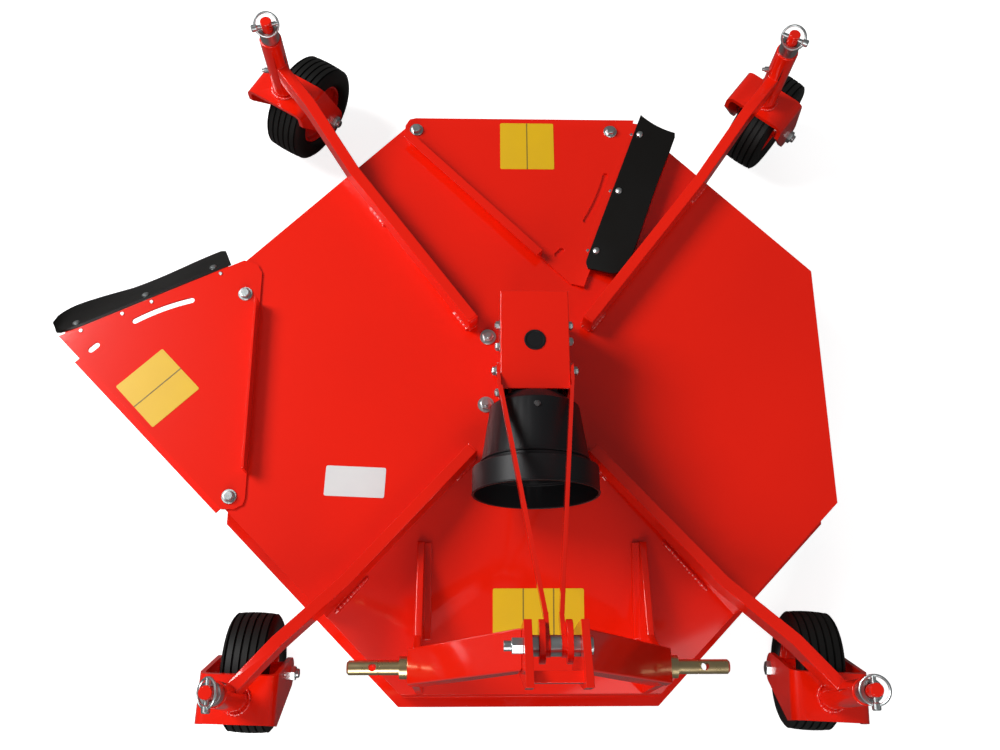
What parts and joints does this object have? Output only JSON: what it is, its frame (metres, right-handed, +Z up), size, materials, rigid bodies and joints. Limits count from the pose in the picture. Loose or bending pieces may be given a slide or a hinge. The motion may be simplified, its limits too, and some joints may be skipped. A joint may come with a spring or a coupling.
{
  "type": "tractor mounted rotary mulching mower",
  "caption": "Octagonal red sheet steel mower deck on four caster wheels, with a three point hitch, guarded drive shaft, rotor and bolted deflectors.",
  "frame": {"origin": "on the ground, at the middle of the machine's footprint", "axes": "+X to the right, +Y to the rear, +Z up; the tractor is at -Y"},
  "size_m": [1.4618, 1.331, 0.725],
  "materials": {
    "red_paint": "gloss red powder coat",
    "bright_zinc": "bright zinc plated fasteners and splined shaft",
    "yellow_zinc": "yellow passivated zinc on steel pins",
    "dark_steel": "dark bare steel and casting",
    "black_plastic": "satin black moulded plastic",
    "flap_rubber": "smooth black rubber sheet",
    "tyre": "solid black rubber"
  },
  "bodies": {
    "chassis": {"deck": "red_paint", "arm_fl": "red_paint", "arm_fr": "red_paint", "arm_rl": "red_paint", "arm_rr": "red_paint", "hitch_arms": "red_paint", "hitch_gussets": "red_paint", "mast_ears": "red_paint", "hitch_pin_left": "yellow_zinc", "hitch_pin_right": "yellow_zinc", "top_bolt": "bright_zinc", "link_lugs": "red_paint", "tie_straps": "red_paint", "gearbox": "dark_steel", "gearbox_cover": "red_paint", "shaft_guard": "black_plastic", "side_deflector": "red_paint", "side_flap": "flap_rubber", "rear_deflector": "red_paint", "rear_flap": "flap_rubber", "deflector_bolts": "bright_zinc"},
    "rotor": {"rotor_hub": "dark_steel", "blade_bar": "red_paint", "blades": "dark_steel"},
    "input_shaft": {"drive_shaft": "bright_zinc"},
    "caster_fl": {"fork_fl": "red_paint", "lock_fl": "bright_zinc", "axle_fl": "bright_zinc"},
    "wheel_fl": {"rim_fl": "red_paint", "tyre_fl": "tyre"},
    "caster_fr": {"fork_fr": "red_paint", "lock_fr": "bright_zinc", "axle_fr": "bright_zinc"},
    "wheel_fr": {"rim_fr": "red_paint", "tyre_fr": "tyre"},
    "caster_rl": {"fork_rl": "red_paint", "lock_rl": "bright_zinc", "axle_rl": "bright_zinc"},
    "wheel_rl": {"rim_rl": "red_paint", "tyre_rl": "tyre"},
    "caster_rr": {"fork_rr": "red_paint", "lock_rr": "bright_zinc", "axle_rr": "bright_zinc"},
    "wheel_rr": {"rim_rr": "red_paint", "tyre_rr": "tyre"}
  },
  "joints": [
    {"name": "rotor_turn", "type": "hinge", "parent": "chassis", "child": "rotor", "pos_m": [0.1416, -0.0672, 0.15], "axis": [0, 0, 1], "continuous": true},
    {"name": "shaft_turn", "type": "hinge", "parent": "chassis", "child": "input_shaft", "pos_m": [0.1416, -0.2172, 0.326], "axis": [0, -1, 0], "continuous": true},
    {"name": "swivel_fl", "type": "hinge", "parent": "chassis", "child": "caster_fl", "pos_m": [-0.3354, -0.6162, 0.23], "axis": [0, 0, 1], "continuous": true},
    {"name": "roll_fl", "type": "hinge", "parent": "caster_fl", "child": "wheel_fl", "pos_m": [-0.33359, -0.56423, 0.1], "axis": [0.9994, -0.0349, 0], "continuous": true},
    {"name": "swivel_fr", "type": "hinge", "parent": "chassis", "child": "caster_fr", "pos_m": [0.6186, -0.6162, 0.23], "axis": [0, 0, 1], "continuous": true},
    {"name": "roll_fr", "type": "hinge", "parent": "caster_fr", "child": "wheel_fr", "pos_m": [0.62132, -0.56427, 0.1], "axis": [0.9986, -0.0523, 0], "continuous": true},
    {"name": "swivel_rl", "type": "hinge", "parent": "chassis", "child": "caster_rl", "pos_m": [-0.3284, 0.5198, 0.23], "axis": [0, 0, 1], "continuous": true},
    {"name": "roll_rl", "type": "hinge", "parent": "caster_rl", "child": "wheel_rl", "pos_m": [-0.30162, 0.56437, 0.1], "axis": [0.8572, -0.515, 0], "continuous": true},
    {"name": "swivel_rr", "type": "hinge", "parent": "chassis", "child": "caster_rr", "pos_m": [0.6116, 0.5058, 0.23], "axis": [0, 0, 1], "continuous": true},
    {"name": "roll_rr", "type": "hinge", "parent": "caster_rr", "child": "wheel_rr", "pos_m": [0.64361, 0.54678, 0.1], "axis": [0.788, -0.6157, 0], "continuous": true}
  ],
  "couplings": [
    {"joint": "shaft_turn", "follows": "rotor_turn", "ratio": 0.33333}
  ]
}
